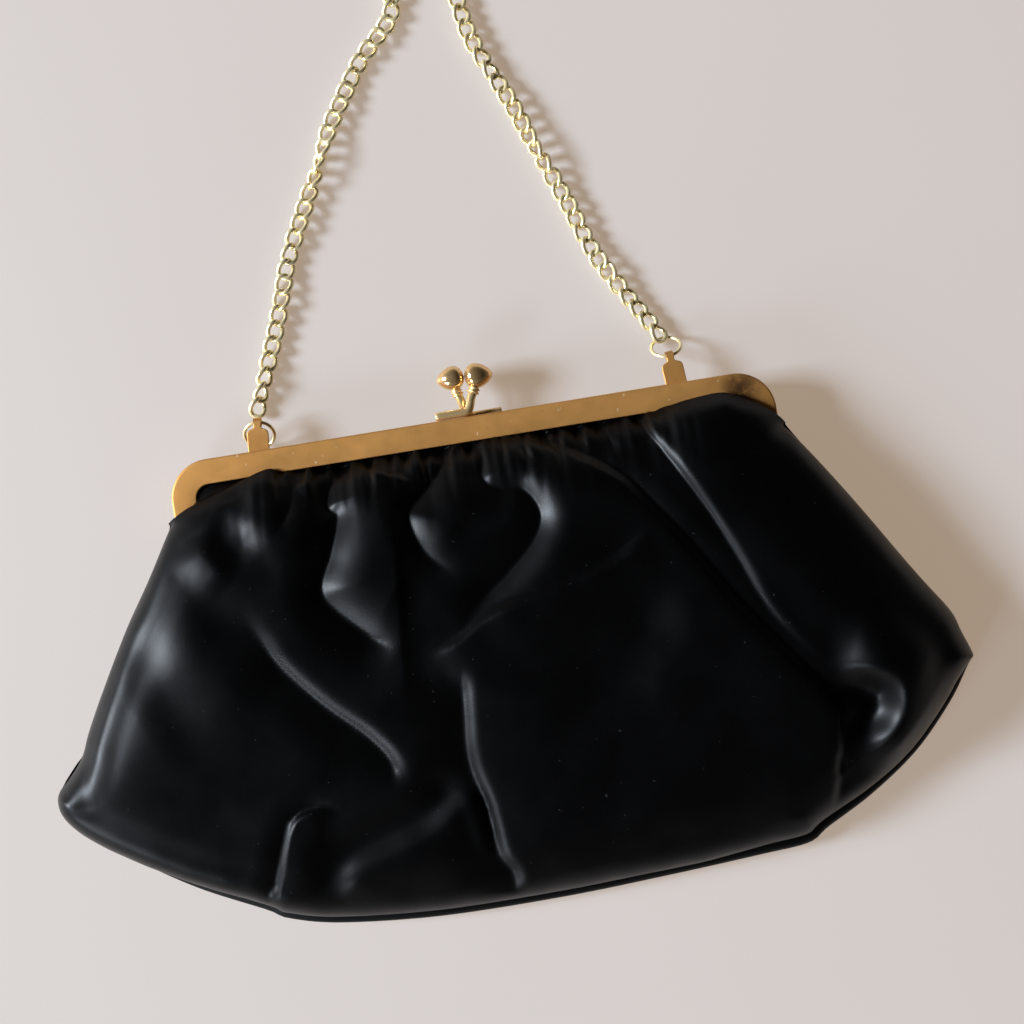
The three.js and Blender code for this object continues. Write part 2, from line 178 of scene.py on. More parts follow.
def tube(line, radius, sides=12, closed=False, up=(0.0, 0.0, 1.0)):
    """Points and faces of a round tube; radius is a number or one for each point."""
    _, side, top = frames_along(line, up, closed)
    radii = np.broadcast_to(np.asarray(radius, float), (len(line),))
    angle = np.linspace(0, 2 * math.pi, sides, endpoint=False)
    ring = np.cos(angle)[None, :, None] * side[:, None, :]
    ring = ring + np.sin(angle)[None, :, None] * top[:, None, :]
    points = (line[:, None, :] + ring * radii[:, None, None]).reshape(-1, 3)
    faces = grid_faces(len(line), sides, wrap_cols=True, wrap_rows=closed)
    faces = [f[::-1] for f in faces]
    if not closed:
        faces += caps(len(line), sides, flip=True)
    return points, faces


def turned(profile, direction, at, sides=48):
    """Points and faces of a profile of (radius, height) turned about direction."""
    axis = unit(direction)
    helper = (0.0, 0.0, 1.0) if abs(axis[2]) < 0.9 else (1.0, 0.0, 0.0)
    a = unit(np.cross(helper, axis))
    b = np.cross(axis, a)
    angle = np.linspace(0, 2 * math.pi, sides, endpoint=False)
    points = []
    for r, h in profile:
        r = max(r, 0.004)
        ring = np.cos(angle)[:, None] * a + np.sin(angle)[:, None] * b
        points.append(np.asarray(at) + axis * h + ring * r)
    points = np.concatenate(points)
    return points, grid_faces(len(profile), sides, wrap_cols=True) + caps(len(profile), sides)


def join(parts):
    points, faces, first = [], [], 0
    for p, f in parts:
        points.append(p)
        faces += [tuple(first + k for k in face) for face in f]
        first += len(p)
    return np.concatenate(points), faces


def round_profile(corners, radius, steps=4):
    """A closed profile whose corners are rounded by the radius, or by one each."""
    n = len(corners)
    radii = [radius] * n if np.isscalar(radius) else radius
    p = [np.asarray(c, float) for c in corners]
    out = []
    for i in range(n):
        before = p[i - 1] - p[i]
        after = p[(i + 1) % n] - p[i]
        room = 0.45 * min(np.linalg.norm(before), np.linalg.norm(after))
        cut = min(radii[i], room)
        a = p[i] + unit(before) * cut
        b = p[i] + unit(after) * cut
        out += [bezier(t, a, p[i], b) for t in np.linspace(0, 1, steps)]
    return np.array(out)


def smoothstep(x, low, high):
    t = np.clip((x - low) / (high - low), 0, 1)
    return t * t * (3 - 2 * t)


def between(first, last, share):
    """The x and y of the points that lie a share of the way from one line's points to another's."""
    at = first + (last - first) * share
    return at[..., 0], at[..., 1]


def add_grid(name, rows, material=None, flip=False):
    faces = grid_faces(*rows.shape[:2])
    if flip:
        faces = [f[::-1] for f in faces]
    return add_mesh(name, rows.reshape(-1, 3), faces, material)


def take_place(piece, slot, body, *nodes):
    """The piece stands for the CAD nodes and moves with the body. The slot is not used."""
    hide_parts(*nodes)
    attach(piece, body)


# ---- materials ----


def new_material(name):
    material = bpy.data.materials.new(name)
    material.use_nodes = True
    return material, material.node_tree, material.node_tree.nodes["Principled BSDF"]


def set_inputs(node, **values):
    for key, value in values.items():
        node.inputs[key.replace("_", " ")].default_value = value


def noise(tree, scale, detail, roughness=0.5, stretch=(1.0, 1.0, 1.0)):
    coordinates = tree.nodes.new("ShaderNodeTexCoord")
    mapping = tree.nodes.new("ShaderNodeMapping")
    mapping.inputs["Scale"].default_value = stretch
    texture = tree.nodes.new("ShaderNodeTexNoise")
    set_inputs(texture, Scale=scale, Detail=detail, Roughness=roughness)
    tree.links.new(coordinates.outputs["Object"], mapping.inputs["Vector"])
    tree.links.new(mapping.outputs["Vector"], texture.inputs["Vector"])
    return texture.outputs["Fac"]


def ramp(tree, source, stops):
    """Colours or greys at positions from 0 to 1."""
    node = tree.nodes.new("ShaderNodeValToRGB")
    elements = node.color_ramp.elements
    while len(elements) < len(stops):
        elements.new(0.5)
    for element, (position, colour) in zip(elements, stops):
        element.position = position
        element.color = (colour, colour, colour, 1.0) if np.isscalar(colour) else (*colour, 1.0)
    tree.links.new(source, node.inputs["Fac"])
    return node.outputs["Color"]


def bump(tree, source, strength, distance, below=None):
    node = tree.nodes.new("ShaderNodeBump")
    set_inputs(node, Strength=strength, Distance=distance)
    tree.links.new(source, node.inputs["Height"])
    if below is not None:
        tree.links.new(below, node.inputs["Normal"])
    return node.outputs["Normal"]


def blend_colours(tree, factor, first, second, kind="MIX"):
    """A colour mix. Its sockets are found by type, because a Mix node has others of the same names."""
    node = tree.nodes.new("ShaderNodeMix")
    node.data_type = "RGBA"
    node.blend_type = kind
    a, b = [s for s in node.inputs if s.type == "RGBA"]
    for socket, value in ((node.inputs[0], factor), (a, first), (b, second)):
        if isinstance(value, bpy.types.NodeSocket):
            tree.links.new(value, socket)
        elif np.isscalar(value):
            socket.default_value = value
        else:
            socket.default_value = (*value, 1.0)
    return [s for s in node.outputs if s.type == "RGBA"][0]


# metres, on the front strip near its right corner
TARNISHED_CORNER = (0.0905, 0.0675, 0.0146)


def satin_material(name, base, roughness, sheen=0.0):
    """Woven cloth with fine threads, uneven gloss and a few specks of lint."""
    material, tree, shader = new_material(name)
    links = tree.links
    patches = noise(tree, 22.0, 3.0)
    shade = ramp(tree, patches, [(0.3, [c * 0.75 for c in base]), (0.7, [c * 1.3 for c in base])])
    lint = ramp(tree, noise(tree, 620.0, 1.0), [(0.775, 0.0), (0.80, 0.55)])
    links.new(blend_colours(tree, lint, shade, (0.022, 0.022, 0.025)), shader.inputs["Base Color"])
    worn = noise(tree, 60.0, 3.0)
    rough = ramp(tree, worn, [(0.3, roughness - 0.03), (0.7, roughness + 0.05)])
    links.new(rough, shader.inputs["Roughness"])
    threads = noise(tree, 3600.0, 1.0, 0.6, (1.0, 0.75, 1.0))
    soft = noise(tree, 70.0, 3.0, 0.5)
    normal = bump(tree, threads, 0.38, 0.0001)
    normal = bump(tree, soft, 0.06, 0.0005, normal)
    links.new(normal, shader.inputs["Normal"])
    set_inputs(
        shader,
        Specular_IOR_Level=0.15,
        Specular_Tint=(0.86, 0.92, 1.0, 1.0),
        Sheen_Weight=sheen,
        Sheen_Roughness=0.35,
        Sheen_Tint=(0.62, 0.72, 0.95, 1.0),
    )
    return material


def gold_material(name, light, deep, roughness, scratches, specks, metallic, tarnish=False):
    """Gold plating in two tones, with dirt and bright specks, fine marks and one tarnished corner."""
    material, tree, shader = new_material(name)
    links = tree.links
    patches = noise(tree, 45.0, 4.0)
    colour = ramp(tree, patches, [(0.32, deep), (0.66, light)])
    rough = noise(tree, 140.0, 4.0, 0.6)
    rough = ramp(tree, rough, [(0.25, roughness * 0.9), (0.75, roughness * 1.12)])
    dirt = ramp(tree, noise(tree, 420.0, 2.0), [(0.66, 0.0), (0.72, specks)])
    colour = blend_colours(tree, dirt, colour, (0.16, 0.09, 0.03))
    dots = noise(tree, 700.0, 1.0, 0.5, (1.0, 0.6, 1.0))
    bright = ramp(tree, dots, [(0.74, 0.0), (0.77, 0.45)])
    colour = blend_colours(tree, bright, colour, (0.95, 0.86, 0.62))
    if tarnish:
        place = tree.nodes.new("ShaderNodeTexCoord")
        spot = tree.nodes.new("ShaderNodeVectorMath")
        spot.operation = "DISTANCE"
        spot.inputs[1].default_value = TARNISHED_CORNER
        links.new(place.outputs["Object"], spot.inputs[0])
        near = ramp(tree, spot.outputs["Value"], [(0.0016, 1.0), (0.0078, 0.0)])
        near.node.color_ramp.interpolation = "EASE"
        uneven = ramp(tree, noise(tree, 320.0, 5.0, 0.7), [(0.30, 0.25), (0.52, 1.0)])
        stain = blend_colours(tree, 1.0, near, uneven, "MULTIPLY")
        colour = blend_colours(tree, stain, colour, (0.085, 0.034, 0.014))
        rough = blend_colours(tree, stain, rough, (0.5, 0.5, 0.5))
    links.new(colour, shader.inputs["Base Color"])
    links.new(rough, shader.inputs["Roughness"])
    fine = noise(tree, 520.0, 3.0, 0.6, (0.12, 1.0, 1.0))
    normal = bump(tree, fine, scratches, 0.0002)
    wide = noise(tree, 40.0, 3.0)
    links.new(bump(tree, wide, scratches, 0.0006, normal), shader.inputs["Normal"])
    set_inputs(shader, Metallic=metallic)
    return material


frame_gold = gold_material(
    "frame_gold", (0.58, 0.30, 0.090), (0.52, 0.262, 0.076), 0.54, 0.12, 0.12, 0.75, tarnish=True
)
bright_gold = gold_material("bright_gold", (0.86, 0.60, 0.30), (0.80, 0.53, 0.25), 0.13, 0.05, 0.15, 0.86)
stem_gold = gold_material("stem_gold", (0.84, 0.64, 0.33), (0.78, 0.56, 0.27), 0.27, 0.08, 0.15, 0.72)
pale_gold = gold_material("pale_gold", (0.94, 0.84, 0.54), (0.90, 0.77, 0.44), 0.24, 0.06, 0.1, 0.66)
satin = satin_material("black_satin", (0.0005, 0.0005, 0.0006), 0.36)
back_satin = satin_material("back_satin", (0.0005, 0.0005, 0.0006), 0.46)
lining_cloth = satin_material("lining_taffeta", (0.006, 0.006, 0.007), 0.55, 0.1)


def paper_material():
    material, tree, shader = new_material("kraft_paper")
    fibre = noise(tree, 700.0, 4.0, 0.6, (0.3, 1.0, 1.0))
    colour = ramp(tree, fibre, [(0.3, (0.34, 0.22, 0.12)), (0.7, (0.52, 0.38, 0.23))])
    tree.links.new(colour, shader.inputs["Base Color"])
    tree.links.new(bump(tree, fibre, 0.5, 0.0003), shader.inputs["Normal"])
    set_inputs(shader, Roughness=0.9)
    return material


paper = paper_material()

# ---- camera ----

CAMERA_TARGET = (9.35, 39.3, 0.0)
CAMERA_DISTANCE = 580.0
CAMERA_ROLL = math.radians(9.2)

camera_data = bpy.data.cameras.new("camera")
camera_data.lens = 60.0
camera_data.sensor_width = 36.0
camera = add_object("camera", camera_data)
camera.location = (CAMERA_TARGET[0] * MM, CAMERA_TARGET[1] * MM, CAMERA_DISTANCE * MM)
camera.rotation_euler = (0.0, 0.0, -CAMERA_ROLL)
bpy.context.scene.camera = camera

# ---- chain ----


def chain_line():
    flat = spline(CHAIN_ROUTE, 12)
    return np.concatenate([flat, np.full((len(flat), 1), CHAIN_Z)], 1)


def curb_link(sides=10, around=36):
    """One twisted link along x, centred: its loop turns about x from one end to the other."""
    t = np.linspace(0, 2 * math.pi, around, endpoint=False)
    half_long, half_wide, wire = 3.2, 2.5, 0.82
    x = half_long * np.sign(np.cos(t)) * np.abs(np.cos(t)) ** 0.85
    y = half_wide * np.sign(np.sin(t)) * np.abs(np.sin(t)) ** 0.85
    turn = math.radians(38.0) * x / half_long
    loop = np.stack([x, y * np.cos(turn), y * np.sin(turn)], 1)
    return tube(loop, wire, sides, closed=True, up=(0.03, 0.02, 1.0))


def chain_mesh():
    """The links along the chain's line, each rolled and swung a little, and none below the table."""
    line = chain_line()
    total = length_of(line)
    count = int(round(total / LINK_PITCH))
    centres = resample(line, count)
    tangent, side, top = frames_along(centres)
    link_points, link_faces = curb_link()
    parts = []
    for i in range(count):
        s = i / (count - 1)
        roll = 26.0 * math.sin(17.0 * s + 0.6) + 22.0 * math.sin(41.0 * s + 1.0) + 16.0 * math.sin(97.0 * s)
        roll = math.radians(roll)
        wander = 0.3 * math.sin(53.0 * s + 0.4)
        swing = math.radians(5.0 * math.sin(71.0 * s + 2.0))
        a = side[i] * math.cos(roll) + top[i] * math.sin(roll)
        b = -side[i] * math.sin(roll) + top[i] * math.cos(roll)
        t = tangent[i] * math.cos(swing) + a * math.sin(swing)
        a = a * math.cos(swing) - tangent[i] * math.sin(swing)
        placed = (
            centres[i]
            + side[i] * wander
            + link_points[:, :1] * t
            + link_points[:, 1:2] * a
            + link_points[:, 2:3] * b
        )
        low = placed[:, 2].min()
        placed[:, 2] += max(0.05 - low, min(0.35 - low, 0.0) * 0.6)
        parts.append((placed, link_faces))
    return join(parts), total


(chain_points, chain_faces), chain_length = chain_mesh()
chain = add_mesh("chain_links", chain_points, chain_faces, pale_gold)
take_place(chain, "pale_gold", "back", "chain")


# ---- frame halves ----


def frame_path(inset, end_y):
    """The outer edge of a frame half, from its left leg end over the top to the right."""
    x = FRAME_HALF - inset
    y = FRAME_TOP - inset
    r = CORNER - inset
    left = [(-x, end_y + (y - r - end_y) * t) for t in np.linspace(0, 1, 12, endpoint=False)]
    arc = [
        (-x + r - r * math.cos(a), y - r + r * math.sin(a))
        for a in np.linspace(0, math.pi / 2, 22)
    ]
    across = [(-x + r + (2 * x - 2 * r) * t, y) for t in np.linspace(0, 1, 60)][1:-1]
    half = left + arc
    mirrored = [(-px, py) for px, py in reversed(half)]
    return np.array(half + across + mirrored)


def frame_half(name, side, inset, ear_radius):
    """side is +1 for the front. The channel's section is swept along the frame's outer edge."""
    def level(near):
        return MID + side * near

    width = STRIP - inset
    face, inner, top = level(HALF_DEPTH), level(HALF_DEPTH - SHEET), level(0.15)
    section = [
        (0.0, top),
        (0.0, face),
        (width, face),
        (width, inner),
        (RIM, inner),
        (RIM, level(1.35)),
        (6.5, level(1.35)),
        (6.5, level(0.6)),
        (RIM, level(0.6)),
        (RIM, top),
    ]
    profile = round_profile(section, [0.15, 0.8, 0.38, 0.3, 0.2, 0.2, 0.3, 0.3, 0.2, 0.2], 6)
    path = frame_path(inset, HINGE[1] + 4.0)
    tangent = unit_rows(np.gradient(path, axis=0))
    inward = np.stack([tangent[:, 1], -tangent[:, 0]], 1)
    points = []
    for p, n in zip(path, inward):
        for d, z in profile:
            points.append((p[0] + n[0] * d, p[1] + n[1] * d, z))
    faces = grid_faces(len(path), len(profile), wrap_cols=True)
    if side < 0:
        faces = [f[::-1] for f in faces]
    faces.append(tuple(range(len(profile))))
    faces.append(tuple((len(path) - 1) * len(profile) + k for k in range(len(profile))))
    parts = [(np.array(points), faces)]
    x = FRAME_HALF - inset
    for end in (-1, 1):
        ear = [(1.25, 0.0), (ear_radius - 0.2, 0.0), (ear_radius, 0.2), (ear_radius, RIM - 0.2),
               (ear_radius - 0.2, RIM), (1.25, RIM), (1.25, 0.0)]
        at = (end * (x - RIM), HINGE[1], HINGE[2])
        parts.append(turned(ear, (end, 0, 0), at, 40))
        low, high = sorted((level(0.15), level(HALF_DEPTH)))
        start, stop = HINGE[1] + 0.5, HINGE[1] + 4.6
        box = []
        for px in (x - RIM, x):
            for py, pz in ((start, low), (stop, low), (stop, high), (start, high)):
                box.append((end * px, py, pz))
        quads = [(0, 1, 2, 3), (7, 6, 5, 4), (0, 4, 5, 1), (1, 5, 6, 2), (2, 6, 7, 3), (3, 7, 4, 0)]
        parts.append((np.array(box), quads))
    points, faces = join(parts)
    return add_mesh(name, points, faces, frame_gold)


front_strip = frame_half("front_frame_strip", 1, 0.0, 4.2)
take_place(front_strip, "frame_gold", "front", "front_frame")
back_strip = frame_half("back_frame_strip", -1, BACK_INSET, 3.6)
take_place(back_strip, "frame_gold", "back", "back_frame")

# ---- bag: curves that bound the cloth ----

SILHOUETTE = [
    (-103.8, 53.0), (-113.7, 36.6), (-123.9, 21.3), (-134.1, 4.3), (-141.6, -9.6), (-145.3, -17.8),
    (-151.0, -24.6), (-154.7, -28.4), (-155.6, -32.2), (-154.7, -36.6), (-151.3, -41.6), (-145.0, -47.8),
    (-130.7, -58.7), (-113.7, -69.6), (-93.0, -80.0), (-87.0, -83.6), (-69.5, -88.0), (-35.5, -91.2),
    (5.3, -91.4), (39.3, -90.0), (73.3, -88.0), (90.3, -86.6), (97.6, -82.4), (114.1, -73.6),
    (131.1, -61.6), (145.2, -46.8), (152.6, -36.0), (154.7, -32.8), (153.6, -29.6), (151.4, -23.5),
    (149.0, -16.2), (140.8, -3.6), (127.7, 17.4), (114.6, 37.8), (103.8, 53.5),
]
CLOTH_EDGE = [
    (-103.8, 53.6), (-101.7, 54.9), (-96.5, 57.5), (-91.0, 59.3), (-86.1, 60.9), (-80.5, 62.6),
    (-75.7, 64.3), (-68.4, 66.2), (-62.0, 64.9), (-55.0, 64.5), (-30.0, 64.4), (0.0, 64.4), (30.0, 64.4),
    (55.0, 64.5), (62.3, 65.0), (69.0, 66.2), (77.0, 67.1), (84.5, 67.1), (91.0, 64.2), (96.5, 60.8),
    (101.3, 56.9), (103.8, 54.1),
]
MOUTH = [
    (-93.9, 51.0), (-93.8, 56.0), (-93.2, 61.0), (-91.0, 64.0), (-87.5, 65.3), (-80.0, 65.4), (-55.0, 65.4),
    (-30.0, 65.4), (0.0, 65.4), (30.0, 65.4), (55.0, 65.4), (80.0, 65.4), (87.5, 65.3), (91.0, 64.0),
    (93.2, 61.0), (93.8, 56.0), (93.9, 51.0),
]

# the grid of the front satin: its columns, the rows that show, and those hidden at its top and its seam
COLUMNS = 421
ROWS = 185
LEAD_ROWS = 8
TAIL_ROWS = 3


def line_coordinates(x, y, line):
    """Signed distance to a line (positive on its +X side when it runs down) and share along it."""
    best = np.full(x.shape, 1e9)
    signed = np.zeros(x.shape)
    share = np.zeros(x.shape)
    steps = np.linalg.norm(np.diff(line, axis=0), axis=1)
    along = np.concatenate([[0], np.cumsum(steps)])
    for k in range(len(line) - 1):
        a, d = line[k], line[k + 1] - line[k]
        size = steps[k] ** 2
        if size < 1e-12:
            continue
        ox = x - a[0]
        oy = y - a[1]
        t = np.clip((ox * d[0] + oy * d[1]) / size, 0, 1)
        distance = np.hypot(ox - t * d[0], oy - t * d[1])
        near = distance < best
        cross = d[0] * oy - d[1] * ox
        best = np.where(near, distance, best)
        signed = np.where(near, np.where(cross >= 0, distance, -distance), signed)
        share = np.where(near, (along[k] + t * steps[k]) / along[-1], share)
    return signed, share


def profile_height(d, keys):
    """Height over the distances d through the keys (distance, height). It is level at a key, or has a
    sharp bend there if the key ends in CREASE."""
    total = np.zeros(d.shape)
    for first, second in zip(keys, keys[1:]):
        t = np.clip((d - first[0]) / (second[0] - first[0]), 0, 1)
        sharp_first, sharp_second = len(first) > 2, len(second) > 2
        if sharp_first and sharp_second:
            eased = t
        elif sharp_first:
            eased = t * (2 - t)
        elif sharp_second:
            eased = t * t
        else:
            eased = t * t * (3 - 2 * t)
        total += (second[1] - first[1]) * eased
    return keys[0][1] + total


CREASE = "crease"
# Each fold is a name, a line down the cloth, and the heights beside it as pairs of distance to the right
# of the line and height. The last pair is the shares of the line over which it grows and dies away.
FOLDS = [
    ("corner_roll",
     [(-94, 49), (-89, 40), (-82, 31)],
     [(-14, 0), (-2, 1.2), (7, -1.4), (20, 0)], (0.35, 0.35)),
    ("left_blob",
     [(-74, 62), (-77.5, 49.8), (-71.2, 38.2), (-63.5, 28)],
     [(-15, 0), (-4, -0.6), (8, 0.8), (24, 0)], (0.1, 0.4)),
    ("left_pleat",
     [(-64, 66), (-61.5, 58), (-63, 50), (-70, 42)],
     [(-7, 0), (0, -1.3, CREASE), (6, 0.6), (12, 0)], (0.02, 0.5)),
    ("curl",
     [(-56, 66), (-56.6, 61.5), (-60, 58.5)],
     [(-3.4, 0), (0, -0.9, CREASE), (2.4, 0.5), (6, 0)], (0.02, 0.4)),
    ("blade",
     [(-43.5, 66), (-49.7, 51.8), (-47.1, 46.6), (-50.7, 35.2), (-55.2, 22.7), (-44.5, 9.1), (-33.6, 0.9)],
     [(-14, 0), (-0.3, -3.1, CREASE), (14, 1.7), (32, 0)], (0.02, 0.16)),
    ("blade_small",
     [(-34, 66), (-35, 58), (-32, 53.4)],
     [(-4, 0), (0, -0.9, CREASE), (3, 0.4), (7, 0)], (0.02, 0.5)),
    ("centre_crease",
     [(-27.8, 60), (-31, 18.5), (-34, -12.7), (-36, -28)],
     [(-7, 0), (0, 0.35, CREASE), (3.4, -0.3), (12, 0)], (0.15, 0.5)),
    ("diamond",
     [(-13.3, 66), (-10.7, 59.1), (-18.5, 49.8), (-24.2, 43.5), (-20.5, 31), (-10.1, 20.6)],
     [(-9, 0), (0, -2.4, CREASE), (11, 1.2), (24, 0)], (0.02, 0.3)),
    ("wavy",
     [(-1.7, 66), (2.5, 59.1), (1.5, 51.8), (6, 47.6), (12.5, 46.8), (16.5, 42.5), (18, 36), (14, 28.5),
      (5, 20), (-6, 12), (-14, 5)],
     [(-15, 0), (0, -2.6, CREASE), (10, 1.2), (30, 0)], (0.02, 0.2)),
    ("long_crease",
     [(-23.7, -3.3), (-13.3, 0.8), (-0.6, 8.1), (21.2, 12.3), (38.9, 17.5), (53.5, 25.8)],
     [(-34, 0), (0, 1.4, CREASE), (2.4, -0.3, CREASE), (15, 0)], (0.12, 0.15)),
    ("s_ridge",
     [(-84, 22), (-78.8, 13.8), (-73.4, 2.7), (-61.3, -12.3), (-48.9, -24.6), (-42.6, -34), (-42.4, -43)],
     [(-18, 0), (0, -2.1, CREASE), (6, 0.6), (26, 0)], (0.3, 0.12)),
    ("middle_ridge",
     [(-14.3, -6.5), (-16.4, -23.1), (-17.4, -38.7), (-14.3, -54.3), (-12.7, -69.9), (-9.1, -78.3),
      (-10.1, -88)],
     [(-20, 0), (0, -1.9, CREASE), (5, 0.5), (17, 0.8), (52, 0)], (0.12, 0.06)),
    ("middle_twin",
     [(-19.5, -45), (-17.4, -58), (-16.4, -72)],
     [(-5, 0), (0, 0.8), (3, -0.5), (7, 0)], (0.3, 0.3)),
    ("low_branch",
     [(-17.5, -45), (-32, -56.5), (-44.5, -61), (-60.1, -66.8), (-68.4, -79)],
     [(-16, 0), (-5, -1.6), (4, 1.2), (18, 0)], (0.15, 0.2)),
    ("long_ridge",
     [(53.5, 66), (61.8, 49.7), (71.2, 31), (78.4, 14.3), (84.7, -2.3), (90.9, -12.7), (107.3, -33.5)],
     [(-13, 0), (0, -1.3, CREASE), (3.4, 0.5), (34, 0)], (0.02, 0.5)),
    ("step",
     [(6.6, 66), (29.5, 54.9), (44.1, 44.5), (53.5, 32), (62.8, 18.5), (75.3, -2.3), (88.8, -21),
      (100.8, -38.7), (100.8, -54.3), (96.1, -82)],
     [(-26, 0), (-4, 0.9), (0, 0.6, CREASE), (3, -1.5, CREASE), (10, -0.9), (24, 0)], (0.12, 0.03)),
    ("short_one",
     [(35.8, 66), (36, 60), (37.9, 54)],
     [(-4, 0), (0, -1, CREASE), (3, 0.4), (7, 0)], (0.02, 0.5)),
    ("short_two",
     [(44.1, 66), (44.6, 59), (46.2, 51)],
     [(-5, 0), (0, -1.4, CREASE), (5, 0.7), (11, 0)], (0.02, 0.4)),
    ("short_three",
     [(24, 66), (26, 59), (31, 52)],
     [(-5, 0), (0, -1.1, CREASE), (4, 0.5), (9, 0)], (0.02, 0.5)),
    ("short_four",
     [(14, 66), (16, 59), (21, 53)],
     [(-4, 0), (0, -0.9, CREASE), (3.4, 0.5), (8, 0)], (0.02, 0.5)),
    ("short_five",
     [(-22, 66), (-23.5, 59), (-22, 53)],
     [(-4, 0), (0, -1, CREASE), (3, 0.5), (8, 0)], (0.02, 0.5)),
    ("right_patch",
     [(99, -26), (107, -29), (115.5, -32.5), (120.6, -37), (120, -44.5), (114, -51), (105, -57)],
     [(-14, 0), (-5, -4.2), (5, 4.6), (25, 0)], (0.35, 0.3)),
    ("left_sheen",
     [(-112, 30), (-108, 12), (-100, -6), (-90, -22)],
     [(-20, 0), (-8, -0.7), (9, 1), (30, 0)], (0.45, 0.4)),
    ("left_edge_roll",
     [(-120, 22), (-124.6, 12.5), (-134.2, -5.8), (-139, -18), (-141.5, -29), (-139.5, -38)],
     [(-6, 0), (-1.5, -0.5), (2.5, 0.55), (10, 0)], (0.3, 0.35)),
    ("right_arc",
     [(100.5, -54), (102.2, -58), (100.8, -63.6)],
     [(-3, 0), (0, -0.8), (2.4, 0.4), (6, 0)], (0.4, 0.4)),
    ("left_tuck",
     [(-61, -47.8), (-67.5, -45.3), (-75, -46.6), (-79.6, -52.5), (-84, -64.7), (-89.2, -75.1),
      (-91.5, -81)],
     [(-9, 0), (-0.3, -1.7, CREASE), (1.3, 1.1), (4, 1.1), (16, 0)], (0.22, 0.02)),
    ("right_soft",
     [(56.6, 16.5), (45, -2), (33.7, -17.8), (28, -34)],
     [(-22, 0), (0, -0.9), (16, 0.9), (34, 0)], (0.35, 0.4)),
]


def fold_height(x, y):
    total = np.zeros(x.shape)
    for _, points, keys, (fade_in, fade_out) in FOLDS:
        line = spline(points, 8)
        reach = max(-keys[0][0], keys[-1][0]) + 1.0
        low = line.min(0) - reach
        high = line.max(0) + reach
        near = (x > low[0]) & (x < high[0]) & (y > low[1]) & (y < high[1])
        d, share = line_coordinates(x[near], y[near], line)
        strength = smoothstep(share, 0.0, fade_in) * (1 - smoothstep(share, 1 - fade_out, 1.0))
        total[near] += profile_height(d, keys) * strength
    return total


def value_noise(x, y, cell, seed):
    """Smooth random field, the same on every run."""
    rng = np.random.default_rng(seed)
    table = rng.uniform(-1, 1, (64, 64))
    gx = (x + 400.0) / cell
    gy = (y + 400.0) / cell
    ix = np.floor(gx).astype(int)
    iy = np.floor(gy).astype(int)
    fx = gx - ix
    fy = gy - iy
    fx = fx * fx * (3 - 2 * fx)
    fy = fy * fy * (3 - 2 * fy)
    a = table[ix % 64, iy % 64]
    b = table[(ix + 1) % 64, iy % 64]
    c = table[ix % 64, (iy + 1) % 64]
    d = table[(ix + 1) % 64, (iy + 1) % 64]
    return (a * (1 - fx) + b * fx) * (1 - fy) + (c * (1 - fx) + d * fx) * fy


def seam_inset(x, y):
    """How far the front seam lies inside the bag's outline: most along the bottom."""
    left = 0.3 + 2.6 * smoothstep(-y, 42.0, 78.0)
    corner = smoothstep(-y, 66.0, 84.0) * smoothstep(x, 50.0, 85.0)
    right = 0.3 + 2.3 * smoothstep(-y, 28.0, 44.0) + 1.2 * corner
    return left + (right - left) * smoothstep(x, 20.0, 60.0)


def inset_line(line, distance):
    tangent = unit_rows(np.gradient(line, axis=0))
    inward = np.stack([-tangent[:, 1], tangent[:, 0]], 1)
    return line + inward * distance[:, None]


def curve(points, count):
    """Evenly spaced points on the smooth line through the points."""
    return resample(spline(points, 10), count)


def gap(x, y, line):
    """How far each point is from the line's point in its own column."""
    return np.hypot(x - line[:, 0], y - line[:, 1])


def seam_line(count, further=0.0):
    """The seam of the front panel, or a line that lies further in."""
    outline = curve(SILHOUETTE, count)
    return inset_line(outline, seam_inset(outline[:, 0], outline[:, 1]) + further)


def soft_min(a, b, k):
    return -k * np.logaddexp(-a / k, -b / k)


def front_base(x, y, from_edge, from_top, edge_z, top_z):
    """The smooth height of the front, before its folds."""
    crown = 29.5 - 6.0 * smoothstep(-y, 15.0, 85.0)
    wide = 28.0 - 10.0 * smoothstep(-x, 50.0, 110.0)
    wide = wide - (3.0 + 4.0 * smoothstep(-x, 40.0, 90.0)) * smoothstep(-y, 10.0, 60.0)
    s = np.clip(from_edge / wide, 0, 1)
    side = edge_z + (crown - edge_z) * np.sqrt(np.clip(1 - (1 - s) ** 2.2, 0, 1))
    fall = top_z + 20.0 * (1 - np.exp(-from_top / 15.0)) + 0.05 * from_top
    return soft_min(side, fall, 4.0)


def smoothed(grid, passes, own=0):
    """Evens out a grid: each value becomes the mean of its four neighbours and itself, own times over."""
    rim = ((1, 1), (1, 1)) + ((0, 0),) * (grid.ndim - 2)
    for _ in range(passes):
        wide = np.pad(grid, rim, mode="edge")
        total = wide[:-2, 1:-1] + wide[2:, 1:-1] + wide[1:-1, :-2] + wide[1:-1, 2:]
        grid = (total + own * grid) / (4 + own)
    return grid


def front_heights(x, y, outline, edge):
    """The base height anywhere over the bag, and how far each point is from the seam and the top edge."""
    from_edge, along = line_coordinates(x, y, outline)
    from_top, _ = line_coordinates(x, y, edge)
    from_edge = np.abs(from_edge)
    from_top = np.abs(from_top)
    edge_z = 7.6 + 2.8 * smoothstep(y, 0.0, 30.0)
    top_z = 13.4 + 3.6 * smoothstep(np.abs(x), 56.0, 74.0)
    return front_base(x, y, from_edge, from_top, edge_z, top_z), from_edge, from_top, along


